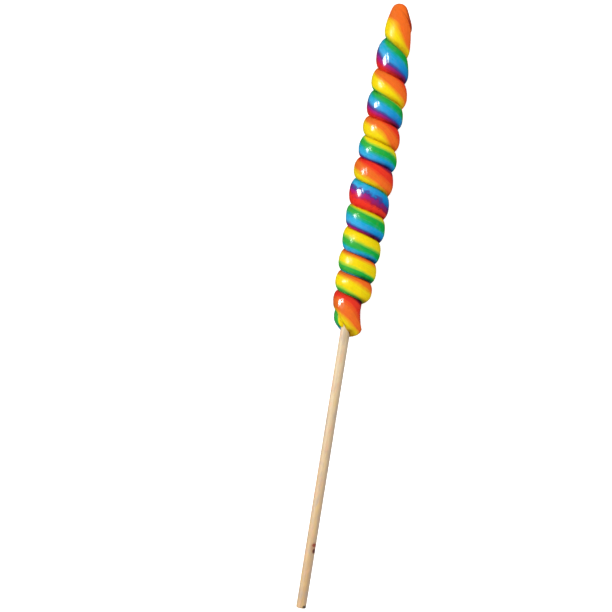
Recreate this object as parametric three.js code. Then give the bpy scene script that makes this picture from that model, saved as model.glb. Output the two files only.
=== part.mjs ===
// Swirl lollipop: one thick rope of hard candy coiled round a thin wooden stick, lying on its side.
//
// Millimetres, +Z up. The stick runs along Y, the tip of the candy points to +Y and +X is to the
// right when the lollipop is seen from above with its tip away from the viewer. The origin is at the
// bottom centre of the whole.
//
// Places along the candy are distances from its tip. Places round it are turns of the coil: whole
// turns lie on top, a quarter turn further is the right side, and the coil winds down towards the
// stick. The groove between two turns of the rope is one long left-handed helix.

import * as THREE from 'three';

// ---- Driving sizes -------------------------------------------------------------------------------

const OVERALL_LENGTH = 275.8; // tip of the candy to the free end of the stick
const STICK_DIAMETER = 4.5;
const STICK_EDGE_RADIUS = 0.6; // rounding of the stick's two ends
const STICK_IN_CANDY = 60; // how far the stick runs into the candy, from where its tail ends
const STICK_SIDE_OFFSET = -1.15; // the stick leaves the candy a little to the left
const SOCKET_CLEARANCE = 0.3; // gap between the stick and the candy round it
const PRESSED_FLAT = 0.3; // depth of the flat spot under each turn, on which the candy lies

// Radius over the crests of the turns, [distance from the tip, radius].
const GIRTH = [
  [0, 0], [0.9, 2.5], [3.6, 4.1], [6.3, 5.0], [11.3, 6.4], [22.5, 7.4], [33.8, 8.3], [44, 8.8],
  [54, 8.75], [63, 9.0], [72, 9.3], [83, 9.6], [92, 9.55], [104, 9.35], [122, 9.0], [130.5, 8.75],
  [136.5, 8.25], [147.6, 7.4], [152, 7.25],
];
const LEVEL_FROM = 22.5; // between these two places the underside of the turns is level
const LEVEL_TO = 130.5;

// How far the middle of the coil wanders to the right, [distance from the tip, offset].
const WANDER = [
  [0, 0.15], [4.5, 0.4], [10.5, 1.05], [14, 0.8], [23, 0.4], [33, 0.8], [44, 1.0], [54, 0.7],
  [63, 0.7], [72, 0.45], [92, 0], [104, 0], [118, -0.25], [130.5, -0.6], [140, -0.95],
  [146, STICK_SIDE_OFFSET], [153, STICK_SIDE_OFFSET],
];

// Where each full groove crosses the left side and then the right side, from the first to the last.
const GROOVE_CROSSINGS = [
  [16.2, 23.9], [30.4, 35.8], [40.5, 47.3], [52.3, 56.5], [61.1, 66.6], [71.2, 75.9],
  [80.8, 87.1], [92.7, 97.6], [102.8, 108.2], [113.1, 117.9], [122.8, 126.9], [131.8, 136.1],
];
const LEFT_SIDE = -0.25; // turns, from the top of the coil
const RIGHT_SIDE = 0.25;

// The groove starts on the tip and ends where the tail of the rope runs out on the stick. After
// that the same line goes once more round the stick, as the lower edge of the candy.
const COIL_START = -0.125;
const COIL_END = 13;
const GROOVE_ON_TIP = [[COIL_START, 1.6], [0.1, 5.2], [RIGHT_SIDE, 13.2]];
const GROOVE_AT_TAIL = [[12.75, 140.4], [12.84, 142.2], [12.93, 146.2], [COIL_END, 148.5]];
const LOWER_EDGE = [[13.12, 149.9], [13.25, 151.9], [13.5, 151.2], [13.75, 148.3], [14, 148.5]];
const GROOVE_LINE = [
  ...GROOVE_ON_TIP,
  ...GROOVE_CROSSINGS.flatMap(([left, right], turn) => [
    [turn + 1 + LEFT_SIDE, left],
    [turn + 1 + RIGHT_SIDE, right],
  ]),
  ...GROOVE_AT_TAIL,
  ...LOWER_EDGE,
];

// Depth of the groove below the crests, [turn, depth]. It fades in on the tip, and it is deepest
// above the tail, where the rope thins before its last bulge.
const GROOVE_DEPTH = [
  [COIL_START, 0], [0.1, 0.4], [RIGHT_SIDE, 1.2], [0.75, 2.5], [1.25, 1.5], [1.75, 2.15], [11.8, 2.15],
  [12.25, 3.2], [12.75, 1.5], [12.93, 3.6], [COIL_END, 4.8],
];
const BULGE_ROUNDNESS = 0.975; // 1 is a half ellipse from groove to groove

// Where the crest of a turn lies between its two grooves, as a share of the way down.
const CREST_MIDDLE = 0.52;
const CREST_SWAY = 0.06; // higher on the left side, lower on the right side
const CREST_AT_TAIL = [[11.75, 0], [12.25, 0.16], [12.5, 0.08], [12.75, -0.1], [COIL_END, -0.1]];

// The rope is hollowed above its last bulge, on the right side, and it dwindles from there on.
const HOLLOW_TURN = 12.25;
const HOLLOW_REACH = 0.3;
const DWINDLE_FROM = 12.35;
const DWINDLE_TO = 12.92;
const DWINDLE_POWER = 3.5;

// Fineness of the faceted candy.
const STEPS_ROUND = 40;
const STEPS_ACROSS = 8; // most rows from groove to groove
const ROW_SPACING = 1; // between the rows of a narrow turn
const TIP_RINGS = 4; // from the tip to the start of the groove
const STICK_SIDES = 32;
const STICK_EDGE_STEPS = 4;
const ROUNDING_ERROR = 1e-6;

const SOCKET_RADIUS = STICK_DIAMETER / 2 + SOCKET_CLEARANCE;

// ---- Small helpers -------------------------------------------------------------------------------

const clamp = THREE.MathUtils.clamp;
const mix = THREE.MathUtils.lerp;

/** A smooth curve through points [place, value], level with its end values beyond them. */
function smoothThrough(points, place) {
  const last = points.length - 1;
  if (place <= points[0][0]) return points[0][1];
  if (place >= points[last][0]) return points[last][1];
  const i = points.findIndex(([p]) => p > place) - 1;
  const slope = (a, b) => (points[b][1] - points[a][1]) / (points[b][0] - points[a][0]);
  const width = points[i + 1][0] - points[i][0];
  const slopeHere = slope(Math.max(i - 1, 0), i + 1) * width;
  const slopeNext = slope(i, Math.min(i + 2, last)) * width;
  const x = (place - points[i][0]) / width;
  const [y0, y1] = [points[i][1], points[i + 1][1]];
  return (2 * x ** 3 - 3 * x ** 2 + 1) * y0 + (x ** 3 - 2 * x ** 2 + x) * slopeHere
    + (3 * x ** 2 - 2 * x ** 3) * y1 + (x ** 3 - x ** 2) * slopeNext;
}

// ---- The shape of the candy ----------------------------------------------------------------------

const GIRTH_OVER_ROOT = GIRTH.map(([place, radius]) => [Math.sqrt(place), radius]);

/** Radius over the crests; taken over the square root of the place, so that the tip is round. */
const girth = (place) => smoothThrough(GIRTH_OVER_ROOT, Math.sqrt(place));

/** Height of the middle of the coil above the ground. */
const middleHeight = (place) => girth(clamp(place, LEVEL_FROM, LEVEL_TO)) - PRESSED_FLAT;

const groove = (turn) => smoothThrough(GROOVE_LINE, turn);

/** How far the groove, or the lower edge of the candy, lies below the crests. */
function grooveDepth(turn) {
  if (turn >= COIL_END) return girth(groove(turn)) - SOCKET_RADIUS;
  return smoothThrough(GROOVE_DEPTH, turn);
}

/** Height of the bulge, 0 in the grooves and 1 on the crest, for -1 to 1 from groove to groove. */
function bulge(across, turn) {
  const floor = Math.sqrt(1 - BULGE_ROUNDNESS ** 2);
  const c = clamp(across, -1, 1);
  const round = (Math.sqrt(1 - (BULGE_ROUNDNESS * c) ** 2) - floor) / (1 - floor);
  if (c >= 0) return round;
  const hollow = 1 - clamp(Math.abs(turn - HOLLOW_TURN) / HOLLOW_REACH, 0, 1);
  return mix(round, (1 + c) ** 2, THREE.MathUtils.smoothstep(hollow, 0, 1));
}

/** Radius of the candy's skin on the turn of rope that starts at this groove. */
function skinRadius(turn, place) {
  const upper = groove(turn);
  const lower = groove(turn + 1);
  const crest = CREST_MIDDLE + CREST_SWAY * Math.sin(2 * Math.PI * turn)
    + smoothThrough(CREST_AT_TAIL, turn);
  const share = (place - upper) / Math.max(lower - upper, ROUNDING_ERROR);
  const across = share < crest ? share / crest - 1 : (share - crest) / (1 - crest);
  const height = bulge(across, turn);
  const edge = grooveDepth(across < 0 ? turn : turn + 1);
  const dwindled = clamp((turn - DWINDLE_FROM) / (DWINDLE_TO - DWINDLE_FROM), 0, 1) ** DWINDLE_POWER;
  const crestDrop = dwindled * (girth(place) - SOCKET_RADIUS);
  return girth(place) - mix(edge, crestDrop, height);
}

/** A point at this turn, distance from the tip and radius, pressed flat on the ground. */
function pointOnCoil(turn, place, radius) {
  const angle = 2 * Math.PI * turn;
  const x = smoothThrough(WANDER, place) + radius * Math.sin(angle);
  const z = middleHeight(place) + radius * Math.cos(angle);
  return new THREE.Vector3(x, -place, Math.max(z, 0));
}

const STICK_START = groove(COIL_END) - STICK_IN_CANDY;
const STICK_HEIGHT = middleHeight(LEVEL_TO);

// ---- The candy's mesh ----------------------------------------------------------------------------

/**
 * The points down one side of the candy, from the last ring on the tip to the lower edge. Each has
 * its level on the coil, which is a whole number in every groove.
 */
function makeColumn(step, ringPoint, addPoint) {
  const column = [{ point: ringPoint, level: -1 }];
  const firstGroove = COIL_START + step / STEPS_ROUND;
  for (let lap = step > 0 ? -1 : 0; firstGroove + lap < COIL_END - ROUNDING_ERROR; lap++) {
    const turn = firstGroove + lap;
    const upper = groove(turn);
    const lower = groove(turn + 1);
    const rows = clamp(Math.ceil((lower - upper) / ROW_SPACING), 2, STEPS_ACROSS);
    for (let row = 1; row <= rows; row++) {
      const place = mix(upper, lower, (1 - Math.cos(Math.PI * row / rows)) / 2);
      const point = addPoint(pointOnCoil(turn, place, skinRadius(turn, place)));
      column.push({ point, level: lap + row / rows });
    }
  }
  return column;
}

/**
 * The tip is closed by rings. Below them the skin hangs in columns, with a point of each column in
 * every groove that it crosses. Neighbouring columns are stitched row by row, and the last column
 * meets the first one turn further down. A socket for the stick closes the lower edge.
 */
function makeCandyGeometry() {
  const points = [];
  const faces = [];
  const addPoint = (point) => points.push(point) - 1;
  const allRound = (makePoint) => Array.from({ length: STEPS_ROUND }, (_, step) =>
    makePoint(COIL_START + step / STEPS_ROUND, step));

  const addCap = (centre, ring) => ring.forEach((point, step) => {
    faces.push(centre, point, ring[(step + 1) % STEPS_ROUND]);
  });
  const addBand = (upper, lower) => upper.forEach((point, step) => {
    const next = (step + 1) % STEPS_ROUND;
    faces.push(point, lower[step], lower[next], point, lower[next], upper[next]);
  });
  const stitch = (left, right, levelShift) => {
    let [i, j] = [0, 0];
    while (i < left.length - 1 || j < right.length - 1) {
      const leftNext = left[i + 1]?.level ?? Infinity;
      const rightNext = (right[j + 1]?.level ?? Infinity) - levelShift;
      if (leftNext <= rightNext + ROUNDING_ERROR) {
        faces.push(left[i].point, left[i + 1].point, right[j].point);
        i++;
      } else {
        faces.push(left[i].point, right[j + 1].point, right[j].point);
        j++;
      }
    }
  };

  let ring = null;
  for (let row = 1; row <= TIP_RINGS; row++) {
    const place = groove(COIL_START) * (row / TIP_RINGS) ** 2;
    const nextRing = allRound((turn) => addPoint(pointOnCoil(turn, place, girth(place))));
    if (ring) addBand(ring, nextRing);
    else addCap(addPoint(pointOnCoil(0, 0, 0)), nextRing);
    ring = nextRing;
  }

  const columns = allRound((_, step) => makeColumn(step, ring[step], addPoint));
  columns.forEach((column, step) => {
    const isLast = step === STEPS_ROUND - 1;
    stitch(column, columns[(step + 1) % STEPS_ROUND], isLast ? 1 : 0);
  });

  const inSocket = (turn, radius) => addPoint(new THREE.Vector3(
    STICK_SIDE_OFFSET + radius * Math.sin(2 * Math.PI * turn),
    SOCKET_CLEARANCE - STICK_START,
    STICK_HEIGHT + radius * Math.cos(2 * Math.PI * turn),
  ));
  const socketRing = allRound((turn) => inSocket(turn, SOCKET_RADIUS));
  addBand(columns.map((column) => column.at(-1).point), socketRing);
  addCap(inSocket(0, 0), socketRing.toReversed());

  const geometry = new THREE.BufferGeometry().setFromPoints(points);
  geometry.setIndex(faces);
  geometry.computeVertexNormals();
  return geometry;
}

// ---- The stick -----------------------------------------------------------------------------------

/** A round dowel with softly rounded ends, standing on the origin. */
function makeStickGeometry() {
  const length = OVERALL_LENGTH - STICK_START;
  const radius = STICK_DIAMETER / 2;
  const outline = new THREE.Path();
  outline.moveTo(0, 0);
  outline.lineTo(radius - STICK_EDGE_RADIUS, 0);
  outline.absarc(radius - STICK_EDGE_RADIUS, STICK_EDGE_RADIUS, STICK_EDGE_RADIUS, -Math.PI / 2, 0);
  outline.lineTo(radius, length - STICK_EDGE_RADIUS);
  outline.absarc(radius - STICK_EDGE_RADIUS, length - STICK_EDGE_RADIUS, STICK_EDGE_RADIUS, 0, Math.PI / 2);
  outline.lineTo(0, length);
  return new THREE.LatheGeometry(outline.getPoints(STICK_EDGE_STEPS), STICK_SIDES);
}

// ---- Assembly ------------------------------------------------------------------------------------

const candy = new THREE.Mesh(
  makeCandyGeometry(),
  new THREE.MeshStandardMaterial({ color: 0xf08a1d, roughness: 0.12, metalness: 0 }),
);
candy.name = 'candy';

const stick = new THREE.Mesh(
  makeStickGeometry(),
  new THREE.MeshStandardMaterial({ color: 0xe3cba4, roughness: 0.75, metalness: 0 }),
);
stick.name = 'stick';
stick.rotation.x = Math.PI; // its length runs towards -Y
stick.position.set(STICK_SIDE_OFFSET, -STICK_START, STICK_HEIGHT);

const lollipop = new THREE.Group();
lollipop.add(candy, stick);

// The origin goes to the bottom centre of the whole.
const box = new THREE.Box3().setFromObject(lollipop);
const centre = box.getCenter(new THREE.Vector3());
lollipop.position.set(-centre.x, -centre.y, -box.min.z);

export default lollipop;
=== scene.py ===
"""Swirl lollipop: a rainbow rope of hard candy coiled round a wooden stick, lying on its side.

Objects are in metres, +Z up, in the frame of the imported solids: the stick runs along Y and the tip
of the candy points to +Y. The tables of the coil are in millimetres, as places from the tip.
Places round it are turns of the coil: whole turns lie on top, a quarter turn further is the right
side, and the coil winds down towards the stick. The groove between two turns of the rope is one
long left-handed helix, and the rope shows its six colours as stripes that roll over as it winds.
"""

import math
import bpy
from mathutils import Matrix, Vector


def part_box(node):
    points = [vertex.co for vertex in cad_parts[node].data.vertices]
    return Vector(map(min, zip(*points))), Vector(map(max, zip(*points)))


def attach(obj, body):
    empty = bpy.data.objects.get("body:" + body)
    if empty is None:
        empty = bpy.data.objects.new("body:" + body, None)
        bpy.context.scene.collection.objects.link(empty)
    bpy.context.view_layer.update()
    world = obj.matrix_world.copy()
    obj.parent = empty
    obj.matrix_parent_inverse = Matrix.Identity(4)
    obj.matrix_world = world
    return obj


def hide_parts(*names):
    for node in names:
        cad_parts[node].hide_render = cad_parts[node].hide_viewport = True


bl_info = {
    "name": "Swirl Lollipop",
    "version": (1, 0, 0),
    "blender": (4, 5, 0),
    "location": "3D View > Sidebar > Lollipop",
    "description": "Makes a rainbow swirl lollipop on a wooden stick",
    "category": "Add Mesh",
}

import bpy
import numpy as np
from bpy.props import FloatProperty, FloatVectorProperty, IntProperty, PointerProperty
from bpy.types import Operator, Panel, PropertyGroup
from mathutils import Matrix, Vector

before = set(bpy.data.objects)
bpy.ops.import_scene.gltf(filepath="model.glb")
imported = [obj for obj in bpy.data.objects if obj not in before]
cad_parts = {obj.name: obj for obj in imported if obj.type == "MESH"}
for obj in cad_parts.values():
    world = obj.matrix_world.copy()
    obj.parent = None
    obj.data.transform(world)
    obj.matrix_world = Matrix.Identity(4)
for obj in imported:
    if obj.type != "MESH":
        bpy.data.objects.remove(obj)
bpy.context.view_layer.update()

MM = 0.001
TURN = 2 * math.pi  # radians


# ---- Sizes taken from the solids ----

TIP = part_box("candy")[1].y
STICK_LOW, STICK_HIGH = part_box("stick")
STICK_X = (STICK_LOW.x + STICK_HIGH.x) / 2
STICK_Z = (STICK_LOW.z + STICK_HIGH.z) / 2
STICK_RADIUS = (STICK_HIGH.x - STICK_LOW.x) / 2
STICK_SIDE_OFFSET = -1.15  # mm; the stick leaves the candy a little to the left
COIL_X = STICK_X - STICK_SIDE_OFFSET * MM


# ---- The form of the coil, in millimetres and turns ----

def at_sides(rows, sides, first_turn):
    """Points (turn, value) from a table with a row for each turn and a value for each side."""
    return [(turn + side, value) for turn, row in enumerate(rows, first_turn)
            for side, value in zip(sides, row)]


SIDE = 0.25  # turns from the top to the right side

# Radius over the crests of the turns, (distance from the tip, radius).
GIRTH = (
    (0, 0), (0.9, 2.5), (3.6, 4.1), (6.3, 5.0), (11.3, 6.4), (22.5, 7.4), (33.8, 8.3), (44, 8.8),
    (54, 8.75), (63, 9.0), (72, 9.3), (83, 9.6), (92, 9.55), (104, 9.35), (122, 9.0), (130.5, 8.75),
    (136.5, 8.25), (147.6, 7.4), (152, 7.25),
)
LEVEL_FROM = 22.5  # between these two places the underside of the turns is level
LEVEL_TO = 130.5
PRESSED_FLAT = 0.3  # depth of the flat spot under each turn

# How far the middle of the coil wanders to the right, (distance from the tip, offset).
WANDER = (
    (0, 0.15), (4.5, 0.4), (10.5, 1.05), (14, 0.8), (23, 0.4), (33, 0.8), (44, 1.0), (54, 0.7),
    (63, 0.7), (72, 0.45), (92, 0), (104, 0), (118, -0.25), (130.5, -0.6), (140, -0.95),
    (146, STICK_SIDE_OFFSET), (153, STICK_SIDE_OFFSET),
)

# Where each full groove crosses the left side and then the right side.
GROOVE_CROSSINGS = (
    (16.2, 23.9), (30.4, 35.8), (40.5, 47.3), (52.3, 56.5), (61.1, 66.6), (71.2, 75.9),
    (80.8, 87.1), (92.7, 97.6), (102.8, 108.2), (113.1, 117.9), (122.8, 126.9), (131.8, 136.1),
)
COIL_START = -0.125  # the groove starts on the tip
COIL_END = 13  # and ends where the tail of the rope runs out on the stick
GROOVE_LINE = (
    (COIL_START, 1.6), (0.1, 5.2), (0.25, 13.2),
    *at_sides(GROOVE_CROSSINGS, (-SIDE, SIDE), 1),
    (12.75, 140.4), (12.84, 142.2), (12.93, 146.2), (COIL_END, 148.5),
    (13.12, 149.9), (13.25, 151.9), (13.5, 151.2), (13.75, 148.3), (14, 148.5),
)
GROOVE_DEPTH = (
    (COIL_START, 0), (0.1, 0.4), (0.25, 1.2), (0.75, 2.5), (1.25, 1.5), (1.75, 2.15), (11.8, 2.15),
    (12.25, 3.2), (12.75, 1.5), (12.93, 3.6), (COIL_END, 4.8),
)

# Where the crest of a turn lies between its two grooves, as a share of the way down.
CREST_MIDDLE = 0.52
CREST_SWAY = 0.06
CREST_AT_TAIL = ((11.75, 0), (12.25, 0.16), (12.5, 0.08), (12.75, -0.1), (COIL_END, -0.1))
# Where the rope is squeezed, so that its fullest part lies off the crest of its stripes.
SQUEEZED = (
    (0.7, 0), (0.92, -0.12), (1.15, 0), (3.7, 0), (3.92, -0.08), (4.15, 0), (6.7, 0), (6.92, -0.08),
    (7.15, 0),
)

HOLLOW_TURN = 12.25  # the upper side of the rope is hollow here, just above the tail
HOLLOW_REACH = 0.3
DWINDLE_FROM = 12.35  # between these two turns the rope dwindles down to the stick
DWINDLE_TO = 12.92
DWINDLE_POWER = 3.5
EDGE_ON_STICK = 2.2  # radius of the candy's lower edge, just inside the stick's skin
SOCKET_END = 88.2  # place where the hole for the stick ends

# Fineness of the candy's mesh.
STEPS_ROUND = 144
MOST_ROWS = 30
ROW_SPACING = 0.32
TIP_RINGS = 12
SAME_LEVEL = 1e-6  # levels this close count as the same


# ---- The stripes and the skin of the candy ----

FULL_RING = 360  # degrees of the ring of colours
QUARTER_RING = 90

# The part of the ring of colours that shows on the crest of the rope, in degrees, for each turn
# (left of the top, on top, right of the top). It mostly falls as the rope rolls over.
BESIDE_TOP = 0.13  # turns from the top to the left and the right of it
ROLL_BY_TURN = (
    (164, 140, 112), (-32, -48, -64), (-192, -213, -244), (-398, -411, -429), (-553, -575, -623),
    (-806, -819, -824), (-950, -976, -1003), (-1074, -1079, -1091), (-1150, -1160, -1169),
    (-1202, -1205, -1208), (-1232, -1233, -1240), (-1244, -1258, -1277), (-1326, -1311, -1338),
)
ROLL = sorted((
    (-1.125, 112), (-1, 106), (-0.9, 86), (-0.8, 62), (-0.7, 54), (-0.55, 76), (-0.4, 126), (-0.25, 164),
    *at_sides(ROLL_BY_TURN, (-BESIDE_TOP, 0, BESIDE_TOP), 0),
    (0.22, 120), (11.8, -1342), (12.22, -1340), (12.75, -1539), (12.8, -1548), (12.84, -1598),
    (13, -1600),
))
# How widely the ring of colours is spread above and below the crest of the rope, (turn, above,
# below): 1 is evenly. It is drawn together on the tip and on the tail.
SPREAD = (
    (-1.125, 0.25, 0.25), (-0.6, 0.25, 0.25), (-0.3, 0.9, 0.9), (-0.13, 0.8, 0.8), (0, 0.35, 0.95),
    (1, 0.93, 1.05), (2, 0.85, 0.9), (3, 1.03, 1), (4, 1, 0.6), (5, 1.05, 1), (6, 1.1, 1.05),
    (7, 1.05, 0.9), (8, 1, 1.05), (9, 1, 1.1), (10, 1.15, 1), (11, 1, 0.85), (11.87, 0.9, 0.95),
    (12.05, 1.3, 1), (12.2, 1.15, 1.25), (12.4, 1.05, 0.85), (12.68, 0.2, 0.2), (13, 0.2, 0.2),
)
SPREAD_ABOVE = [(turn, above) for turn, above, _ in SPREAD]
SPREAD_BELOW = [(turn, below) for turn, _, below in SPREAD]
SHOWING_SHARE = 0.97  # share of the rope's thickness that shows between two grooves
TIP_PHASE = 112 / FULL_RING  # the stripes run together into one colour on the tip
STRIPES_FROM = 1.5  # mm from the tip, where they start to part
STRIPES_FULL_FROM = 11.0

RAGGED_TURN = 7  # the stripes of this turn have the most ragged edges
RAGGED_MOST = 6  # times as ragged as elsewhere
RAGGED_REACH = (0.1, 0.4)  # turns beside it over which that fades

# Noise along the rope: (how finely it is set round it and along a turn, scale, detail, roughness,
# step of the seed).
WAVES = (1, 2.5, 1.6, 2.0, 0.5, 0)
STREAKS = (4, 2.2, 2.2, 3.0, 0.6, 1)
RIPPLES = (3, 3, 1.5, 0.5, 0.5, 3)
# Noise all over the skin: (scale, detail, roughness, step of the seed).
SMEARS = (300, 3.0, 0.6, 2)
GRAINS = (1400, 2.0, 0.6, 4)
MOTTLES = (480, 2.0, 0.5, 5)
NOISE_REACH = (0.3, 0.7)  # what counts as low and as high

# How bright the colours are where this noise is low and where it is high.
STREAK_SHADES = (0.94, 1.03)
GRAIN_SHADES = (0.94, 1.04)
MOTTLE_SHADES = (0.93, 1.03)
# Painted shade and the darker tones keep more of their red.
REDNESS_KEPT = 0.7  # darker places keep more of their red

# Painted shade towards a groove: where the skin starts to darken, from 0 on the crest to 1 in the groove,
# and how much of the colours is left in it: on the left side, on the right side, and how far that varies.
DARKER_BELOW = 0.6
KEPT_BELOW = (0.7, 0.35, 0.25)
DARKER_ABOVE = (0.88, 0.78)  # on the left side and on the right side
KEPT_ABOVE = (0.7, 0.1, 0.2)
FULLY_DARK_DEPTH = 1.5  # shallower grooves are paler

# A painted shadow where the candy's lower edge meets the stick: right of the stick's middle, distance
# from the tip, half width, half length, strength.
CONTACT_SHADOW_SPOT = (1.5, 150.2, 0.75, 0.6, 0.8)
# Painted shade along the right side of the tip, over the rope's own end.
SHADED_TIP_TURN = -0.75  # the rope's own end, darker along the right side of the tip
SHADED_TIP_REACH = (0.06, 0.15)  # turns beside it over which that fades
SHADED_TIP_MOTTLING = 0.3
SHADED_TIP_FADE = 4  # mm from the tip over which it sets in
SHADED_TIP_STRENGTH = 0.8

# How well polished the skin of each turn is; some are rubbed dull.
POLISH = (
    (-1, 0.04), (0, 0.04), (1, 0.95), (2, 0.05), (3, 1), (4, 0.2), (5, 0.28), (6, 0.3), (7, 0.46),
    (8, 0.12), (9, 0.05), (10, 0.07), (11, 0.1), (12, 1), (13, 0.6),
)
SMEARED_POLISH = (1.1, 0.6)  # share of the polish between smears and on them
SMEARS_SHOW = (0.45, 0.7)  # noise where they set in and where they are full
RIPPLE_DEPTH = 0.04
STREAK_RELIEF = 0.03  # share of that which the streaks have

# How much painted shade each full groove gets on the left side, on top and on the right side.
GROOVE_SHADES = (
    (1.2, 0.9, 0.55), (1, 1, 1.05), (1.1, 0.8, 0.5), (1.1, 1, 1.1), (1, 0.7, 0.45), (1.15, 1.2, 0.75),
    (1, 0.9, 0.75), (0.8, 0.8, 0.9), (1, 1.3, 1.7), (1.05, 1.15, 1.4), (1.05, 1.3, 1.3), (0.85, 1, 1.2),
)
GROOVE_SHADE = at_sides(GROOVE_SHADES, (-SIDE, 0, SIDE), 1)


# ---- Colours ----

def srgb(red, green, blue):
    """A colour of 0 to 255 steps as the linear values that Blender's shaders take."""
    steps = (value / 255 for value in (red, green, blue))
    return tuple(s / 12.92 if s <= 0.04045 else ((s + 0.055) / 1.055) ** 2.4 for s in steps)


# Where each colour of the ring is pure, (setting, from, to), in degrees; they blend in between.
RING = (
    ("crimson", 15, 15), ("red", 34, 66), ("orange", 98, 136), ("yellow", 168, 212),
    ("lime", 223, 223), ("green", 238, 264), ("teal", 279, 279), ("cyan", 291, 291),
    ("blue", 321, 321), ("indigo", 337, 337), ("purple", 346, 348), ("magenta", 356, 356),
)
# Painted light and shade: lit copies of some of them for the candy's left side, which faces the light, and
# shaded copies for its right side.
LIT_SIDE_COLOURS = {"green": "lit_side_green", "blue": "lit_side_blue"}
SHADED_SIDE_COLOURS = {
    "crimson": "maroon", "red": "shaded_side_red", "orange": "shaded_side_orange", "cyan": "blue",
    "blue": "shaded_side_blue", "indigo": "shaded_side_indigo", "magenta": "shaded_side_magenta",
}
# The lit left side's colours turn into the shaded right side's between these sines of the turn's angle.
LIT_TO_SHADED_SIDE = (-0.8, 0.85)


# ---- Node trees ----

SPOT_FRAY = 0.8  # how far noise moves a spot's edge, in half widths
SPOT_EDGE = (0.55, 1.15)  # a spot is full up to the first and gone from the second


def math_method(operation):
    """A method of Field that adds this Math node."""
    return lambda self, *others: self.math(operation, self, *others)


def with_reflected(operation):
    """The same, and its reflected form."""
    return math_method(operation), lambda self, other: self.math(operation, other, self)


class Field:
    """One output of a node. Python's operators on it add Math nodes to its tree."""

    def __init__(self, socket):
        self.socket = socket

    def math(self, operation, *values, clamp=False):
        settings = {"operation": operation, "use_clamp": clamp}
        return add_node(self.socket.id_data, "ShaderNodeMath", settings, dict(enumerate(values)))[0]

    __add__, __radd__ = with_reflected("ADD")
    __sub__, __rsub__ = with_reflected("SUBTRACT")
    __mul__, __rmul__ = with_reflected("MULTIPLY")
    __truediv__, __rtruediv__ = with_reflected("DIVIDE")
    __pow__ = math_method("POWER")
    __abs__ = math_method("ABSOLUTE")
    __lt__ = math_method("LESS_THAN")
    __gt__ = math_method("GREATER_THAN")
    sin = math_method("SINE")
    cos = math_method("COSINE")
    sqrt = math_method("SQRT")
    fraction = math_method("FRACT")
    at_least = math_method("MAXIMUM")

    def __neg__(self):
        return self * -1

    def clamp(self):
        return self.math("ADD", self, 0, clamp=True)

    def smoothstep(self, low, high):
        """0 up to low, 1 from high on, and a smooth rise between them."""
        return add_node(
            self.socket.id_data, "ShaderNodeMapRange", {"interpolation_type": "SMOOTHSTEP"},
            {"Value": self, "From Min": low, "From Max": high},
        )[0]


def add_node(tree, kind, settings=None, inputs=None):
    """Adds a node: first its settings, then values or links by its sockets' names or places."""
    node = tree.nodes.new(kind)
    for name, value in (settings or {}).items():
        if name == "stops":
            set_stops(node.color_ramp, value)
        else:
            setattr(node, name, value)
    open_inputs = [socket for socket in node.inputs if socket.enabled]
    for key, value in (inputs or {}).items():
        socket = open_inputs[key] if isinstance(key, int) else next(
            socket for socket in open_inputs if socket.name == key)
        if isinstance(value, Field):
            tree.links.new(value.socket, socket)
        else:
            socket.default_value = value
    return [Field(output) for output in node.outputs if output.enabled]


def set_stops(ramp, stops):
    """Gives a colour ramp its stops (place, linear colour)."""
    while len(ramp.elements) > 1:
        ramp.elements.remove(ramp.elements[-1])
    for index, (place, colour) in enumerate(stops):
        element = ramp.elements[0] if index == 0 else ramp.elements.new(place)
        element.position = place
        element.color = (*colour, 1)


def mix(low, high, share):
    """Numbers or fields mixed by a share of 0 to 1."""
    return low + (high - low) * share


def noise(tree, place, scale, detail, roughness, seed):
    """Noise of about 0 to 1, with the seed as its fourth dimension."""
    return add_node(
        tree, "ShaderNodeTexNoise", {"noise_dimensions": "4D"},
        {"Vector": place, "Scale": scale, "Detail": detail, "Roughness": roughness, "W": seed},
    )[0]


def vector(tree, x, y, z):
    return add_node(tree, "ShaderNodeCombineXYZ", None, {0: x, 1: y, 2: z})[0]


def mix_colours(tree, share, low, high, blend="MIX"):
    return add_node(tree, "ShaderNodeMix", {"data_type": "RGBA", "blend_type": blend},
                    {"Factor": share, "A": as_colour(low), "B": as_colour(high)})[0]


def as_colour(value):
    return value if isinstance(value, Field) else (*value, 1)


def bumped(tree, height, depth):
    """A normal for a surface with this height of 0 to 1, as deep as given in metres."""
    return add_node(tree, "ShaderNodeBump", None, {"Strength": 1, "Distance": depth, "Height": height})[0]


def spot(x, y, size, noise_there):
    """The strength of a frayed spot on it and 0 beside it.

    Its size holds its place right of the stick's middle and from the tip, its half width and half
    length, all in millimetres, and its strength.
    """
    right, place, half_width, half_length, strength = size
    over = (x - STICK_X - right * MM) / (half_width * MM)
    along = (y - TIP + place * MM) / (half_length * MM)
    distance = (over**2 + along**2).sqrt() + (noise_there - 0.5) * SPOT_FRAY
    return (1 - distance.smoothstep(*SPOT_EDGE)) * strength


def mesh_number(tree, name):
    """The number that the mesh holds under this name."""
    return add_node(tree, "ShaderNodeAttribute", {"attribute_name": name})[2]


def object_place(tree):
    """The place in the object's own frame, whole and as its x, y and z."""
    place = add_node(tree, "ShaderNodeTexCoord")[3]
    return place, *add_node(tree, "ShaderNodeSeparateXYZ", None, {0: place})


def new_material(name, viewport_colour):
    """A material with an empty tree."""
    material = bpy.data.materials.new(name)
    material.use_nodes = True
    material.diffuse_color = (*viewport_colour, 1)
    material.node_tree.nodes.clear()
    return material


def finish_material(tree, inputs):
    """Adds a Principled shader with these inputs and joins it to the output."""
    shader = add_node(tree, "ShaderNodeBsdfPrincipled", None, inputs)[0]
    add_node(tree, "ShaderNodeOutputMaterial", None, {"Surface": shader})


def add_object(name, data):
    made = bpy.data.objects.new(name, data)
    bpy.context.scene.collection.objects.link(made)
    return made


# ---- The candy's chart ----

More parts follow.
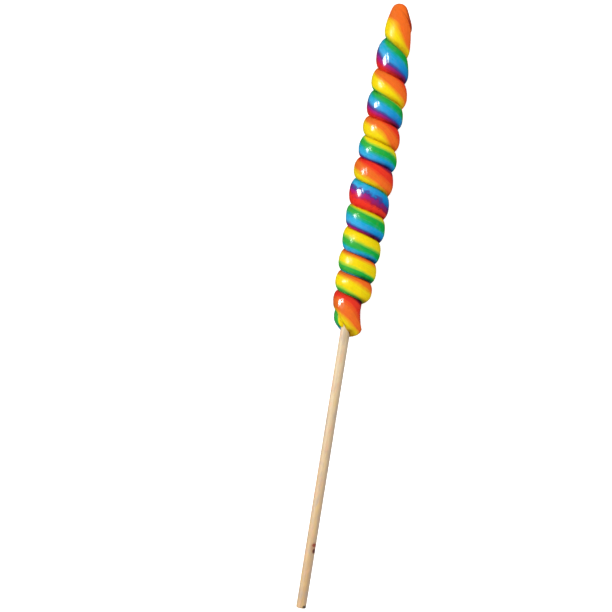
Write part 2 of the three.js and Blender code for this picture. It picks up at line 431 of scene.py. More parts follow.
def smooth_through(points, places):
    """A smooth curve through points (place, value), level with its end values beyond them."""
    x, y = np.array(points, float).T
    slopes = np.empty(len(x))
    slopes[1:-1] = (y[2:] - y[:-2]) / (x[2:] - x[:-2])
    slopes[[0, -1]] = (y[1] - y[0]) / (x[1] - x[0]), (y[-1] - y[-2]) / (x[-1] - x[-2])
    i = np.clip(np.searchsorted(x, places, side="right") - 1, 0, len(x) - 2)
    width = x[i + 1] - x[i]
    t = np.clip((places - x[i]) / width, 0, 1)
    return ((2 * t**3 - 3 * t**2 + 1) * y[i] + (t**3 - 2 * t**2 + t) * width * slopes[i]
            + (3 * t**2 - 2 * t**3) * y[i + 1] + (t**3 - t**2) * width * slopes[i + 1])


def girth(places):
    """Radius over the crests; taken over the square root of the place, so that the tip is round."""
    return smooth_through([(math.sqrt(place), radius) for place, radius in GIRTH], np.sqrt(places))


def middle_height(places):
    return girth(np.clip(places, LEVEL_FROM, LEVEL_TO)) - PRESSED_FLAT


def groove(turns):
    return smooth_through(GROOVE_LINE, turns)


def groove_depth(turns):
    """How far a groove, or the lower edge of the candy, lies below the crests."""
    at_edge = girth(groove(turns)) - EDGE_ON_STICK
    return np.where(turns >= COIL_END, at_edge, smooth_through(GROOVE_DEPTH, turns))


def across_rope(turns, shares, squeezed=0):
    """-1 in the upper groove, 0 on the crest and 1 in the lower groove."""
    crest = CREST_MIDDLE + CREST_SWAY * np.sin(TURN * turns) + smooth_through(CREST_AT_TAIL, turns)
    crest = crest + squeezed
    return np.where(shares < crest, shares / crest - 1, (shares - crest) / (1 - crest))


def colour_phase(turns, across):
    """Place in the ring of colours, in whole rings."""
    seen = np.degrees(np.arcsin(SHOWING_SHARE * np.clip(across, -1, 1)))
    widest = math.degrees(math.asin(SHOWING_SHARE))
    spread = np.where(across < 0, smooth_through(SPREAD_ABOVE, turns), smooth_through(SPREAD_BELOW, turns))
    return (smooth_through(ROLL, turns) + spread * QUARTER_RING * seen / widest) / FULL_RING


def share_down(levels):
    """Shares of the way between two grooves for evenly counted rows, closer beside the grooves."""
    return (1 - np.cos(np.pi * levels)) / 2


def stitch(left, right):
    """Triangles between two columns, each a list of (level, vertex), as triples of
    (side, level, vertex)."""
    i = j = 0
    while i < len(left) - 1 or j < len(right) - 1:
        left_next = left[i + 1][0] if i < len(left) - 1 else math.inf
        right_next = right[j + 1][0] if j < len(right) - 1 else math.inf
        if left_next <= right_next + SAME_LEVEL:
            yield (0, *left[i]), (0, *left[i + 1]), (1, *right[j])
            i += 1
        else:
            yield (0, *left[i]), (1, *right[j + 1]), (1, *right[j])
            j += 1


def chart_corners(strips, first_of_strip, rows):
    """Arrays of the vertices, turns and levels of the triangles' corners."""
    # Columns of (level, vertex) down each side of the candy.
    last_ring = 1 + (TIP_RINGS - 1) * STEPS_ROUND
    columns = [[(-1.0, last_ring + step)] for step in range(STEPS_ROUND)]
    for strip, first, count in zip(strips, first_of_strip, rows):
        lap, step = strip // STEPS_ROUND - 1, strip % STEPS_ROUND
        columns[step] += [(lap + (r + 1) / count, first + r) for r in range(count)]
    corners = []
    for step, column in enumerate(columns):
        right = columns[(step + 1) % STEPS_ROUND]
        if step == STEPS_ROUND - 1:
            right = [(level - 1, vertex) for level, vertex in right]
        for triangle in stitch(column, right):
            lap = math.floor(min(level for _, level, _ in triangle))
            corners += [(vertex, COIL_START + (step + side) / STEPS_ROUND + lap, level - lap)
                        for side, level, vertex in triangle]

    # Rings close the tip and the socket; their corners take the colour beside them.
    def band(above, below, turn, level):
        for here in range(STEPS_ROUND):
            beyond = (here + 1) % STEPS_ROUND
            for side, vertex in ((0, above[here]), (0, below[here]), (1, below[beyond]),
                                 (0, above[here]), (1, below[beyond]), (1, above[beyond])):
                corners.append((vertex, turn + (here + side) / STEPS_ROUND, level))

    tip = [[0] * STEPS_ROUND]
    tip += [range(1 + ring * STEPS_ROUND, 1 + (ring + 1) * STEPS_ROUND) for ring in range(TIP_RINGS)]
    for above, below in zip(tip, tip[1:]):
        band(above, below, COIL_START - 1, 0)
    socket = range(first_of_strip[-1], first_of_strip[-1] + STEPS_ROUND)
    band([column[-1][1] for column in columns], socket, COIL_END - 1, 1)
    band(socket, [socket.stop] * STEPS_ROUND, COIL_END - 1, 1)

    triangles = (corners[k:k + 3] for k in range(0, len(corners), 3))
    whole = (triangle for triangle in triangles if len({vertex for vertex, _, _ in triangle}) == 3)
    return [np.array(column) for column in zip(*(corner for triangle in whole for corner in triangle))]


def rope_at(turns, levels, places):
    """Rows of (turn, across, colour phase), with the stripes run together on the tip."""
    across = across_rope(turns, share_down(levels))
    parted = np.clip((places - STRIPES_FROM) / (STRIPES_FULL_FROM - STRIPES_FROM), 0, 1)
    phase = mix(TIP_PHASE, colour_phase(turns, across), parted**2 * (3 - 2 * parted))
    return np.stack((turns, across, phase), axis=1)


def make_chart():
    """The candy's skin before it is wrapped round the stick.

    It is a mesh whose vertices hold where they belong on the coil, as named attributes, and whose
    face corners hold (turn, across, colour phase), so that colours can break at the grooves.
    """
    strips = np.arange(1, round((COIL_END - COIL_START + 1) * STEPS_ROUND))
    strip_turns = COIL_START - 1 + strips / STEPS_ROUND
    widths = groove(strip_turns + 1) - groove(strip_turns)
    rows = np.clip(np.ceil(widths / ROW_SPACING), 2, MOST_ROWS).astype(int)

    # Vertices: the centre of the tip, its rings, the strips from groove to groove, the socket.
    ring_places = groove(COIL_START) * (np.arange(1, TIP_RINGS + 1) / TIP_RINGS) ** 2
    ring_turns = COIL_START + np.arange(STEPS_ROUND) / STEPS_ROUND
    turns = np.concatenate((
        [0], np.tile(ring_turns, TIP_RINGS), np.repeat(strip_turns, rows), ring_turns, [0]))
    first_of_strip = 1 + TIP_RINGS * STEPS_ROUND + np.concatenate(([0], np.cumsum(rows)))
    on_strips = slice(first_of_strip[0], first_of_strip[-1])
    in_socket = slice(first_of_strip[-1], None)
    row = np.arange(on_strips.start, on_strips.stop) - np.repeat(first_of_strip[:-1], rows) + 1
    shares = np.ones(len(turns))
    shares[on_strips] = share_down(row / np.repeat(rows, rows))
    places = np.zeros(len(turns))
    places[1:on_strips.start] = np.repeat(ring_places, STEPS_ROUND)
    places[on_strips] = mix(groove(turns), groove(turns + 1), shares)[on_strips]
    places[in_socket] = SOCKET_END

    across = across_rope(turns, shares, smooth_through(SQUEEZED, turns))
    depth = groove_depth(turns + (across >= 0))
    depth[:on_strips.start] = 0
    wander = smooth_through(WANDER, places)
    height = middle_height(places)
    wander[in_socket] = STICK_SIDE_OFFSET
    height[in_socket] = middle_height(LEVEL_TO)
    depth[in_socket] = girth(SOCKET_END) - EDGE_ON_STICK
    depth[-1] = girth(SOCKET_END)
    turns[in_socket] += COIL_END - 1
    across[in_socket] = 1

    corner_vertex, corner_turn, corner_level = chart_corners(strips, first_of_strip, rows)
    rope = rope_at(corner_turn, corner_level, places[corner_vertex])
    mesh = bpy.data.meshes.new("candy_chart")
    mesh.from_pydata(np.stack((turns, -places, across), axis=1) * MM, [],
                     corner_vertex.reshape(-1, 3).tolist())
    for name, values in (
        ("turn", turns), ("across", across), ("place", places * MM), ("girth", girth(places) * MM),
        ("depth", depth * MM), ("wander", wander * MM), ("height", height * MM),
        ("polish", smooth_through(POLISH, turns)),
        ("shade", smooth_through(GROOVE_SHADE, turns + (across >= 0))),
    ):
        attribute = mesh.attributes.new(name, "FLOAT", "POINT")
        attribute.data.foreach_set("value", values.astype(np.float32))
    attribute = mesh.attributes.new("rope", "FLOAT_VECTOR", "CORNER")
    attribute.data.foreach_set("vector", rope.astype(np.float32).ravel())
    return mesh


# ---- The candy's wrapping tree ----

DENT_NOISE = (2.0, 0.45)  # detail and roughness
DENT_EDGE = (0.25, 0.75)  # noise at the rim of a dent and in its middle


def make_coil_tree():
    """Geometry nodes that bulge each turn of the chart and wrap it round the stick's axis.

    Returns the tree and the identifiers of its inputs by name.
    """
    tree = bpy.data.node_groups.new("Candy coil", "GeometryNodeTree")
    tree.is_modifier = True
    tree.interface.new_socket("Geometry", in_out="OUTPUT", socket_type="NodeSocketGeometry")
    kinds = {"Chart": "NodeSocketGeometry", "Material": "NodeSocketMaterial", "Seed": "NodeSocketInt"}
    names = (
        *kinds, "Roundness", "Unevenness", "Dent size", "Hollow turn", "Hollow reach", "Dwindle from",
        "Dwindle to", "Dwindle power", "Edge on stick", "Coil X", "Tip Y",
    )
    sockets = {
        name: tree.interface.new_socket(
            name, in_out="INPUT", socket_type=kinds.get(name, "NodeSocketFloat"))
        for name in names
    }
    given = dict(zip(names, add_node(tree, "NodeGroupInput")))

    def chart(name):
        return add_node(tree, "GeometryNodeInputNamedAttribute", {"data_type": "FLOAT"}, {"Name": name})[0]

    turn, across, place, girth_here = chart("turn"), chart("across"), chart("place"), chart("girth")
    angle = turn * TURN

    # The bulge is part of an ellipse, but hollow on the upper side just above the tail.
    roundness = given["Roundness"]
    in_groove = (1 - roundness**2).sqrt()
    round_bulge = ((1 - (roundness * across) ** 2).sqrt() - in_groove) / (1 - in_groove)
    near_hollow = 1 - (abs(turn - given["Hollow turn"]) / given["Hollow reach"]).clamp()
    hollow = near_hollow.smoothstep(0, 1) * (across < 0)
    bulge = mix(round_bulge, (1 + across) ** 2, hollow)

    # The last turn dwindles down to the stick.
    dwindled = (turn - given["Dwindle from"]) / (given["Dwindle to"] - given["Dwindle from"])
    crest_drop = dwindled.clamp() ** given["Dwindle power"] * (girth_here - given["Edge on stick"])
    radius = girth_here - mix(chart("depth"), crest_drop, bulge)

    # Soft dents, only ever inwards.
    skin = vector(tree, angle.sin() * radius, angle.cos() * radius, place)
    dents = noise(tree, skin, 1 / given["Dent size"], *DENT_NOISE, given["Seed"])
    radius = radius - given["Unevenness"] * dents.smoothstep(*DENT_EDGE) * bulge

    x = chart("wander") + given["Coil X"] + radius * angle.sin()
    z = (chart("height") + radius * angle.cos()).at_least(0)
    position = vector(tree, x, given["Tip Y"] - place, z)
    shape = add_node(tree, "GeometryNodeSetPosition", None,
                     {"Geometry": given["Chart"], "Position": position})[0]
    smooth = add_node(tree, "GeometryNodeSetShadeSmooth", None, {0: shape})[0]
    whole = add_node(tree, "GeometryNodeRealizeInstances", None, {"Geometry": smooth})[0]
    painted = add_node(tree, "GeometryNodeSetMaterial", None,
                       {"Geometry": whole, "Material": given["Material"]})[0]
    add_node(tree, "NodeGroupOutput", None, {0: painted})
    return tree, {name: socket.identifier for name, socket in sockets.items()}


def make_candy(settings, material):
    """Wraps the chart into the candy, as a plain mesh."""
    draft = add_object("candy_draft", make_chart())
    tree, identifiers = make_coil_tree()
    modifier = draft.modifiers.new("Coil", "NODES")
    modifier.node_group = tree
    values = {
        "Material": material, "Seed": settings.seed, "Roundness": settings.roundness,
        "Unevenness": settings.unevenness, "Dent size": settings.dent_size,
        "Hollow turn": HOLLOW_TURN, "Hollow reach": HOLLOW_REACH, "Dwindle from": DWINDLE_FROM,
        "Dwindle to": DWINDLE_TO, "Dwindle power": DWINDLE_POWER,
        "Edge on stick": EDGE_ON_STICK * MM, "Coil X": COIL_X, "Tip Y": TIP,
    }
    for name, value in values.items():
        modifier[identifiers[name]] = value
    depsgraph = bpy.context.evaluated_depsgraph_get()
    mesh = bpy.data.meshes.new_from_object(
        draft.evaluated_get(depsgraph), preserve_all_data_layers=True, depsgraph=depsgraph)
    mesh.name = "swirl_candy"
    bpy.data.objects.remove(draft)
    return add_object("swirl_candy", mesh)


def make_candy_material(settings):
    """Glossy hard candy with rainbow stripes that follow the rope, and painted light and shade on its sides
    and in its grooves.
    """
    material = new_material("Rainbow hard candy", settings.orange)
    tree = material.node_tree
    rope = add_node(tree, "ShaderNodeAttribute", {"attribute_name": "rope"})[1]
    turn, across, phase = add_node(tree, "ShaderNodeSeparateXYZ", None, {0: rope})
    ring_x, ring_y = (phase * TURN).cos(), (phase * TURN).sin()
    place, x, y, z = object_place(tree)

    def along_rope(round_it, along, scale, detail, roughness, step):
        stretched = vector(tree, ring_x * round_it, ring_y * round_it, turn * along)
        return noise(tree, stretched, scale, detail, roughness, settings.seed + step)

    def all_over(scale, detail, roughness, step):
        return noise(tree, place, scale, detail, roughness, settings.seed + step)

    waves, streaks = along_rope(*WAVES), along_rope(*STREAKS)
    mottles = all_over(*MOTTLES).smoothstep(*NOISE_REACH)
    near_ragged = abs(turn - RAGGED_TURN).smoothstep(*RAGGED_REACH)
    ragged = mix(RAGGED_MOST, 1, near_ragged) * settings.raggedness
    wavy_phase = phase + ((waves - 0.5) * settings.waviness + (streaks - 0.5) * settings.streakiness
                          + (mottles - 0.5) * ragged) / FULL_RING

    def ring_of_colours(swaps):
        stops = sorted({(degrees / FULL_RING, tuple(getattr(settings, swaps.get(name, name))))
                        for name, *reach in RING for degrees in reach})
        (first, first_colour), (last, last_colour) = stops[0], stops[-1]
        share = (1 - last) / (1 - last + first)
        seam = tuple(mix(low, high, share) for low, high in zip(last_colour, first_colour))
        stops = [(0, seam), *stops, (1, seam)]
        return add_node(tree, "ShaderNodeValToRGB", {"stops": stops}, {"Fac": wavy_phase.fraction()})[0]

    # Painted light and shade: the stripes take their lit copies on the left side and their shaded copies on
    # the right side.
    towards_shaded_side = (turn * TURN).sin().smoothstep(*LIT_TO_SHADED_SIDE)
    stripes = mix_colours(tree, towards_shaded_side, ring_of_colours(LIT_SIDE_COLOURS), ring_of_colours(SHADED_SIDE_COLOURS))

    # Painted shade: the skin darkens into the grooves, more on the right side, away from the light.
    def kept_under_painted_shade(on_left, on_right, mottling, dark):
        return mix(1, mix(on_left, on_right, towards_shaded_side) + (mottles - 0.5) * mottling, dark)

    grains = all_over(*GRAINS)
    painted_groove_shade = (mesh_number(tree, "depth") / (FULLY_DARK_DEPTH * MM)).clamp() * mesh_number(tree, "shade")
    painted_shade_below_crest = (across.smoothstep(DARKER_BELOW, 1.0) * painted_groove_shade).clamp()
    painted_shade_above_crest = ((-across).smoothstep(mix(*DARKER_ABOVE, towards_shaded_side), 1.0) * painted_groove_shade).clamp()
    # The colours' own tone varies with streaks, grains and mottles; painted shade darkens it towards the
    # grooves.
    shade = mix(*STREAK_SHADES, streaks.smoothstep(*NOISE_REACH)) * mix(*GRAIN_SHADES, grains)
    shade = shade * mix(*MOTTLE_SHADES, mottles)
    shade = shade * kept_under_painted_shade(*KEPT_BELOW, painted_shade_below_crest) * kept_under_painted_shade(*KEPT_ABOVE, painted_shade_above_crest)
    colour = mix_colours(tree, 1, stripes, vector(tree, shade**REDNESS_KEPT, shade, shade), "MULTIPLY")

    # Painted shade darkens the right side of the tip, along the rope's own end.
    shaded_tip_flank = 1 - abs(turn - SHADED_TIP_TURN).smoothstep(*SHADED_TIP_REACH) + (mottles - 0.5) * SHADED_TIP_MOTTLING
    off_tip = ((TIP - y) / (SHADED_TIP_FADE * MM)).clamp()
    colour = mix_colours(tree, (shaded_tip_flank * off_tip).clamp() * SHADED_TIP_STRENGTH, colour, settings.painted_tip_shade)
    # Painted shadow where the candy's lower edge meets the stick.
    colour = mix_colours(tree, spot(x, y, CONTACT_SHADOW_SPOT, grains) * (z > STICK_Z), colour, settings.painted_contact_shadow)

    smears = all_over(*SMEARS)
    polish = mesh_number(tree, "polish") * mix(*SMEARED_POLISH, smears.smoothstep(*SMEARS_SHOW))
    relief = along_rope(*RIPPLES) * (1 - STREAK_RELIEF) + streaks * STREAK_RELIEF
    finish_material(tree, {
        "Base Color": colour,
        "Roughness": mix(0.22, 0.34, smears),
        "Specular IOR Level": 0.09,
        "Coat Weight": (polish * (1 - painted_shade_below_crest - painted_shade_above_crest)).clamp(),
        "Coat Roughness": settings.gloss_roughness,
        "Subsurface Weight": 0.12,
        "Subsurface Radius": (0.0012, 0.0008, 0.0006),
        "Subsurface Scale": 1.0,
        "Normal": bumped(tree, relief, RIPPLE_DEPTH * MM),
    })
    return material


# ---- The stick ----

STICK_SIDES = 64
STICK_RINGS = 160
STICK_EDGE_RADIUS = 0.6 * MM
STICK_EDGE_RINGS = 8
# The waves of its worn places: (how many round it, radians along each millimetre, shift).
WORN_WAVES = ((3, 0.11, 0), (2, -0.047, 2), (1, 0.19, 0))


def make_stick(settings, material):
    """A turned dowel with softly rounded ends and a slightly uneven skin."""
    length = STICK_HIGH.y - STICK_LOW.y
    bend = np.linspace(0, np.pi / 2, STICK_EDGE_RINGS + 1)
    edge_places = STICK_EDGE_RADIUS * (1 - np.cos(bend))
    edge_radii = STICK_RADIUS - STICK_EDGE_RADIUS * (1 - np.sin(bend))
    between = np.linspace(STICK_EDGE_RADIUS, length - STICK_EDGE_RADIUS, STICK_RINGS)[1:-1]
    places = np.concatenate((
        [0, 0], edge_places[1:], between, length - edge_places[1:][::-1], [length, length]))
    flat = STICK_RADIUS - STICK_EDGE_RADIUS
    radii = np.concatenate((
        [0.5 * flat, flat], edge_radii[1:], np.full(len(between), STICK_RADIUS), edge_radii[1:][::-1],
        [flat, 0.5 * flat]))

    angles = np.arange(STICK_SIDES) / STICK_SIDES * TURN
    around, along = np.meshgrid(angles, places)
    worn = sum(np.sin(around * count + along / MM * rate + shift) for count, rate, shift in WORN_WAVES)
    worn /= len(WORN_WAVES)
    radius = radii[:, None] - settings.unevenness * (0.5 + 0.5 * worn) * (radii[:, None] > flat)
    points = np.stack((
        STICK_X + radius * np.sin(around), STICK_HIGH.y - along, STICK_Z + radius * np.cos(around),
    ), axis=-1).reshape(-1, 3)
    points = np.vstack((points, (STICK_X, STICK_HIGH.y, STICK_Z), (STICK_X, STICK_LOW.y, STICK_Z)))

    def vertex(ring, side):
        return ring * STICK_SIDES + side % STICK_SIDES

    last = len(places) - 1
    faces = [
        (vertex(ring, side), vertex(ring + 1, side), vertex(ring + 1, side + 1), vertex(ring, side + 1))
        for ring in range(last) for side in range(STICK_SIDES)
    ]
    faces += [(len(points) - 2, vertex(0, side), vertex(0, side + 1)) for side in range(STICK_SIDES)]
    faces += [(len(points) - 1, vertex(last, side + 1), vertex(last, side)) for side in range(STICK_SIDES)]
    mesh = bpy.data.meshes.new("wooden_stick")
    mesh.from_pydata(points, [], faces)
    mesh.shade_smooth()
    mesh.materials.append(material)
    return add_object("wooden_stick", mesh)


# Noise in the wood: (how finely it is set along the stick, scale, detail, roughness, seed).
GRAIN = (0.035, 2600, 4.0, 0.6, 3.0)
BROAD_GRAIN = (0.035, 700, 2.0, 0.5, 5.0)
PORES = (0.12, 5200, 2.0, 0.5, 7.0)
PORES_SHOW = (0.68, 0.78)
BLOTCHES = (0.45, 380, 2.0, 0.5)
BLOTCH_SEEDS = {"blush": 9.0, "straw": 11.0, "grey": 13.0}  # by colour setting
WOOD_RELIEF = 0.06  # mm
BARE_FROM = 150  # mm from the tip, where the wood starts to turn tanner

# Stains, and a dark smudge at the corner of the free end, on the stick: (colour setting, right of its
# middle, distance from the tip, half width, half length, strength), in millimetres.
STAINS = (
    ("burn", 1.3, 247.9, 1.7, 2.8, 0.3),
    ("burn", 1.3, 246.85, 1.1, 0.95, 0.92),
    ("char", 1.65, 249.5, 0.75, 1.25, 0.95),
    ("dark_end_smudge", 1.35, 275.0, 0.9, 0.8, 0.85),
)


def make_stick_material(settings):
    """Bare pale wood, tanner towards its free end, with a few stains, and painted shade greying its right
    side.
    """
    material = new_material("Pale wood", settings.wood)
    tree = material.node_tree
    _, x, y, z = object_place(tree)

    def wood_noise(finely, *kind):
        return noise(tree, vector(tree, x, y * finely, z), *kind)

    grain, broad, pores = wood_noise(*GRAIN), wood_noise(*BROAD_GRAIN), wood_noise(*PORES)
    # Layers of colour: (field, where it starts to show and shows fully, strength, colour setting).
    layers = [
        (grain, 0.35, 0.75, 0.35, "grain"), (broad, 0.4, 0.8, 0.25, "grain"),
        *((wood_noise(*BLOTCHES, seed), 0.47, 0.68, 0.5, dye) for dye, seed in BLOTCH_SEEDS.items()),
        # The last layer is painted shade that greys the stick's right side; the grey of the blotches is the
        # wood's own.
        (pores, *PORES_SHOW, 0.4, "burn"), ((x - STICK_X) / STICK_RADIUS, 0.2, 0.95, 0.6, "grey"),
    ]
    towards_end = 1 - (y - STICK_LOW.y) / (TIP - BARE_FROM * MM - STICK_LOW.y)
    colour = mix_colours(tree, towards_end.clamp(), settings.wood, settings.wood_at_end)
    for field, low, high, strength, dye in layers:
        colour = mix_colours(tree, field.smoothstep(low, high) * strength, colour, getattr(settings, dye))
    for dye, *size in STAINS:
        stained = spot(x, y, size, grain) * (z > STICK_Z)
        colour = mix_colours(tree, stained, colour, getattr(settings, dye))
    relief = grain * 0.6 + broad * 0.4 - pores.smoothstep(*PORES_SHOW) * 0.5
    finish_material(tree, {
        "Base Color": colour,
        "Roughness": mix(0.55, 0.75, grain),
        "Normal": bumped(tree, relief, WOOD_RELIEF * MM),
    })
    return material


# ---- The stage ----

CANDY_MIDDLE = Vector((0, 0.06, 0.01))
LIGHT_SIDE = Vector((-0.62, 0.42, 0.66))
CAMERA_PLACE = Vector((-20.53, -3.43, 766.7)) * MM
CAMERA_ROLL = math.radians(9.1087)
HALF_FRAME_OVER_DISTANCE = 306 / 1685
CLIP_START = 0.01
FLOOR_HALF = 20.0

# The lights' places in degrees: from the zenith to the left, and ahead towards the tip.
LIGHTS_AHEAD = 30
KEY_ZENITH = 50
KEY_SPREAD = 34
KEY_LENGTH = 1.5
PANES = (("outer", 60, 19, 1.0), ("inner", 37, 11, 0.5))  # (name, zenith, spread, brightness)
FULL_SPREAD = 19  # spread of a pane with the full power
PANE_SHIFT = 0.58  # lengths of a pane between the middle of a pane and that of the window


def add_soft_light(name, zenith, forward, spread, length, power, distance, mirrored):
    """A rectangular light to the left of the candy, seen only in its gloss or only on its colours.

    Its place is given by degrees from the zenith to the left and by how far it is shifted towards
    the tip; it spans some degrees from high to low and its length runs along the stick.
    """
    lean = math.radians(zenith)
    light = bpy.data.lights.new(name, "AREA")
    light.shape = "RECTANGLE"
    light.size = 2 * distance * math.tan(math.radians(spread / 2))
    light.size_y = length
    light.energy = power
    lamp = add_object(name, light)
    lamp.matrix_world = (
        Matrix.Translation(CANDY_MIDDLE) @ Matrix.Rotation(CAMERA_ROLL, 4, "Z")
        @ Matrix.Rotation(-math.atan2(forward, distance), 4, "X")
        @ Matrix.Rotation(-lean, 4, "Y") @ Matrix.Translation((0, 0, distance)))
    lamp.visible_camera = False
    lamp.visible_glossy = mirrored
    lamp.visible_diffuse = not mirrored


def make_world(settings):
    """White light from all round, stronger from the light's side and weak where gloss mirrors it;
    behind the candy it is plain white."""
    world = bpy.data.worlds.new("Soft surroundings")
    world.use_nodes = True
    tree = world.node_tree
    tree.nodes.clear()
    direction = add_node(tree, "ShaderNodeTexCoord")[0]
    towards_light = add_node(
        tree, "ShaderNodeVectorMath", {"operation": "DOT_PRODUCT"}, {0: direction, 1: LIGHT_SIDE})[0]
    upwards = add_node(tree, "ShaderNodeSeparateXYZ", None, {0: direction})[2]
    seen, _, _, mirrored, *_ = add_node(tree, "ShaderNodeLightPath")
    strength = settings.surroundings + settings.slant * towards_light
    strength = strength * mix(settings.from_below, 1, upwards > 0) * mix(1, settings.in_gloss, mirrored)
    strength = mix(strength, 1, seen)
    glow = {"Color": (1, 1, 1, 1), "Strength": strength}
    surroundings = add_node(tree, "ShaderNodeBackground", None, glow)[0]
    add_node(tree, "ShaderNodeOutputWorld", None, {"Surface": surroundings})
    return world


def make_floor(settings):
    material = new_material("Pale floor", settings.floor)
    finish_material(material.node_tree, {
        "Base Color": (*settings.floor, 1),
        "Roughness": 0.9,
        "Specular IOR Level": 0.1,
        "Emission Color": (1, 1, 1, 1),
        "Emission Strength": settings.floor_glow,
    })
    mesh = bpy.data.meshes.new("floor")
    points = [(x * FLOOR_HALF, y * FLOOR_HALF, 0) for x, y in ((-1, -1), (1, -1), (1, 1), (-1, 1))]
    mesh.from_pydata(points, [], [(0, 1, 2, 3)])
    mesh.materials.append(material)
    floor = add_object("floor", mesh)
    floor.visible_glossy = False
    floor.visible_diffuse = False
    return floor


def make_stage(settings):
    """A pale floor, soft light from the left and from all round, and the camera."""
    scene = bpy.context.scene
    view = scene.view_settings
    view.view_transform, view.look, view.exposure, view.gamma = "Standard", "None", 0, 1
    make_floor(settings)
    scene.world = make_world(settings)

    distance = settings.window_distance
    forward = distance * math.tan(math.radians(LIGHTS_AHEAD))
    add_soft_light("key", KEY_ZENITH, forward, KEY_SPREAD, KEY_LENGTH, settings.key_power, distance,
                   mirrored=False)
    length = settings.window_length / 2
    for name, zenith, spread, brightness in PANES:
        power = settings.window_power * brightness * spread / FULL_SPREAD
        for side, shift in (("near", -PANE_SHIFT), ("far", PANE_SHIFT)):
            add_soft_light(f"{name}_{side}_pane", zenith, forward + shift * length, spread, length,
                           power, distance, mirrored=True)

    camera_data = bpy.data.cameras.new("camera")
    camera_data.lens = camera_data.sensor_width / 2 / HALF_FRAME_OVER_DISTANCE
    camera_data.clip_start = CLIP_START
    camera = add_object("camera", camera_data)
    camera.matrix_world = Matrix.Translation(CAMERA_PLACE) @ Matrix.Rotation(CAMERA_ROLL, 4, "Z")
    scene.camera = camera


# ---- Settings ----

def colour_setting(name, description, *steps):
    return FloatVectorProperty(name=name, description=description, default=srgb(*steps),
                               subtype="COLOR", size=3, min=0, max=1)


def number_setting(name, description, default, **limits):
    return FloatProperty(name=name, description=description, default=default, **limits)


def share_setting(name, description, default):
    return number_setting(name, description, default, min=0, max=1, subtype="FACTOR")


class CandySettings(PropertyGroup):
    """Sizes and colours of the candy."""

    roundness: number_setting(
        "Roundness", "Fullness of the rope between two grooves; 1 is half round", 0.975, min=0.5, max=0.999)
    unevenness: number_setting(
        "Unevenness", "Depth of the soft dents in the rope", 0.25 * MM, min=0, max=MM,
        unit="LENGTH", precision=5)
    dent_size: number_setting(
        "Dent Size", "Width of the soft dents in the rope", 7 * MM, min=MM, unit="LENGTH", precision=4)
    seed: IntProperty(name="Seed", description="Picks other dents and streaks", default=4)
    waviness: number_setting(
        "Waviness", "How far the stripes wander round the rope, in degrees", 16, min=0, max=60)
    streakiness: number_setting(
        "Streakiness", "How far the edges of the stripes fray, in degrees", 30, min=0, max=90)
    gloss_roughness: share_setting("Gloss Roughness", "Roughness of the polished skin", 0.08)
    raggedness: number_setting(
        "Raggedness", "How far small notches push the edges of the stripes, in degrees",
        3, min=0, max=60)
    # Painted light and shade: the colours for the left or the right side, and maroon, are lit and shaded
    # copies of stripe colours.
    red: colour_setting("Red", "Red stripe", 242, 48, 30)
    shaded_side_red: colour_setting("Bright Red", "Red stripe on the right side", 246, 58, 34)
    orange: colour_setting("Orange", "Orange stripe", 236, 113, 34)
    shaded_side_orange: colour_setting("Bright Orange", "Orange stripe on the right side", 254, 114, 32)
    yellow: colour_setting("Yellow", "Yellow stripe", 246, 220, 4)
    green: colour_setting("Green", "Green stripe", 8, 174, 66)
    lit_side_green: colour_setting("Pale Green", "Green stripe on the left side", 50, 180, 66)
    blue: colour_setting("Blue", "Lighter edge of the blue stripe on the right side", 16, 158, 216)
    lit_side_blue: colour_setting("Pale Blue", "Blue stripe on the left side", 66, 180, 238)
    shaded_side_blue: colour_setting("Deep Blue", "Blue stripe on the right side", 0, 136, 216)
    purple: colour_setting("Purple", "Purple stripe", 96, 42, 134)
    crimson: colour_setting("Crimson", "Where magenta turns red", 210, 18, 66)
    maroon: colour_setting("Maroon", "Crimson on the right side", 152, 22, 58)
    # Painted shade for the right side of the tip.
    painted_tip_shade: colour_setting("Seared", "Dark side of the tip", 134, 36, 20)
    # Painted shadow where the candy's lower edge meets the stick.
    painted_contact_shadow: colour_setting("Burnt", "Dark spot on the lower edge", 92, 52, 16)
    lime: colour_setting("Lime", "Between yellow and green", 178, 218, 48)
    teal: colour_setting("Teal", "Between green and blue", 4, 176, 138)
    cyan: colour_setting("Cyan", "Lighter edge of the blue stripe", 20, 176, 212)
    indigo: colour_setting("Indigo", "Between blue and purple", 62, 92, 166)
    shaded_side_indigo: colour_setting("Deep Indigo", "Indigo on the right side", 38, 80, 168)
    magenta: colour_setting("Magenta", "Between purple and crimson", 176, 28, 136)
    shaded_side_magenta: colour_setting("Plum", "Magenta on the right side", 136, 34, 110)


class StickSettings(PropertyGroup):
    """Sizes and colours of the stick."""

    unevenness: number_setting(
        "Unevenness", "Depth of the worn places on the stick",
        0.05 * MM, min=0, max=MM, unit="LENGTH", precision=5)
    wood: colour_setting("Wood", "Wood beside the candy", 228, 208, 168)
    wood_at_end: colour_setting("Wood at End", "Wood at the free end", 204, 164, 112)
    grain: colour_setting("Grain", "Darker lines of the grain", 190, 148, 104)
    blush: colour_setting("Blush", "Pinkish blotches", 228, 170, 134)
    straw: colour_setting("Straw", "Yellowish blotches", 220, 186, 118)
    # Grey serves both the wood's own blotches and painted shade on the stick's right side.
    grey: colour_setting("Grey", "Greyer side and blotches", 176, 160, 146)
    burn: colour_setting("Burn", "Red-brown stain", 150, 56, 38)
    char: colour_setting("Char", "Dark maroon stain", 92, 26, 20)
    dark_end_smudge: colour_setting("Soot", "Dark grey smudge", 52, 50, 44)


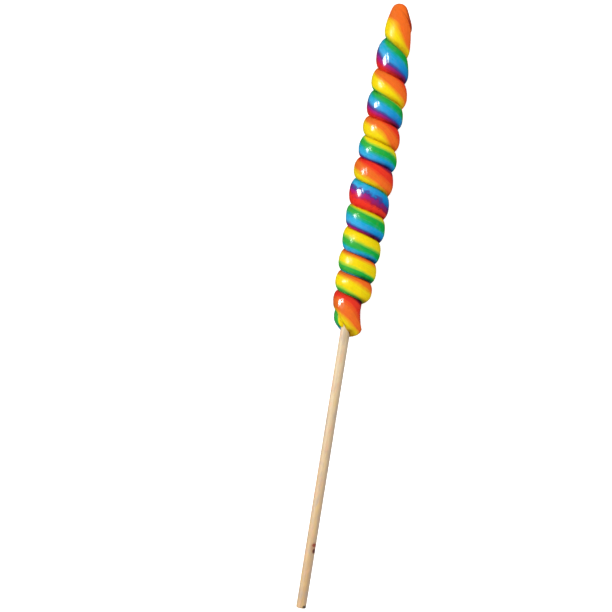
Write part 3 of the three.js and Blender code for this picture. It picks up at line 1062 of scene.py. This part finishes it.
class StageSettings(PropertyGroup):
    """Light and floor."""

    floor: colour_setting("Floor", "Colour of the floor", 246, 246, 246)
    floor_glow: number_setting(
        "Floor Glow", "Light that the floor gives off, which softens shadows", 0.55, min=0)
    surroundings: number_setting(
        "Surroundings", "Strength of the light from all round", 0.92, min=0)
    slant: number_setting("Slant", "How much stronger it is from the light's side", 0.15, min=0)
    from_below: share_setting("From Below", "Share of it that comes from below the floor's level", 0.6)
    in_gloss: share_setting("In Gloss", "Share of it that the gloss mirrors", 0.05)
    key_power: number_setting(
        "Key Power", "Power of the soft light from the left", 14, min=0, unit="POWER")
    window_power: number_setting(
        "Window Power", "Power of a bright pane of the window that the gloss mirrors",
        50, min=0, unit="POWER")
    window_distance: number_setting(
        "Window Distance", "Distance of the lights on the left", 2.4, min=0.3, unit="LENGTH")
    window_length: number_setting(
        "Window Length", "Length of the window along the stick", 1.2, min=0.1, unit="LENGTH")


# ---- Operators and panel ----

class LOLLIPOP_OT_candy(Operator):
    """Make the coiled rope of candy"""

    bl_idname = "lollipop.candy"
    bl_label = "Make Candy"

    def execute(self, context):
        settings = context.scene.lollipop_candy
        candy = make_candy(settings, make_candy_material(settings))
        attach(candy, "root")
        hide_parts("candy")
        return {"FINISHED"}


class LOLLIPOP_OT_stick(Operator):
    """Make the wooden stick"""

    bl_idname = "lollipop.stick"
    bl_label = "Make Stick"

    def execute(self, context):
        settings = context.scene.lollipop_stick
        stick = make_stick(settings, make_stick_material(settings))
        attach(stick, "root")
        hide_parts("stick")
        return {"FINISHED"}


class LOLLIPOP_OT_stage(Operator):
    """Make the floor, the light and the camera"""

    bl_idname = "lollipop.stage"
    bl_label = "Make Stage"

    def execute(self, context):
        make_stage(context.scene.lollipop_stage)
        return {"FINISHED"}


class LOLLIPOP_PT_sidebar(Panel):
    """Settings and buttons of the lollipop"""

    bl_label = "Swirl Lollipop"
    bl_space_type = "VIEW_3D"
    bl_region_type = "UI"
    bl_category = "Lollipop"

    def draw(self, context):
        for name, _, operator in GROUPS:
            column = self.layout.box().column()
            settings = getattr(context.scene, name)
            for setting in type(settings).__annotations__:
                column.prop(settings, setting)
            column.operator(operator.bl_idname)


GROUPS = (
    ("lollipop_candy", CandySettings, LOLLIPOP_OT_candy),
    ("lollipop_stick", StickSettings, LOLLIPOP_OT_stick),
    ("lollipop_stage", StageSettings, LOLLIPOP_OT_stage),
)
CLASSES = (*(cls for _, *both in GROUPS for cls in both), LOLLIPOP_PT_sidebar)


def register():
    for cls in CLASSES:
        bpy.utils.register_class(cls)
    for name, settings, _ in GROUPS:
        setattr(bpy.types.Scene, name, PointerProperty(type=settings))


def unregister():
    for name, *_ in GROUPS:
        delattr(bpy.types.Scene, name)
    for cls in reversed(CLASSES):
        bpy.utils.unregister_class(cls)


def main():
    register()
    bpy.ops.lollipop.candy()
    bpy.ops.lollipop.stick()
    bpy.ops.lollipop.stage()


if __name__ == "__main__":
    main()
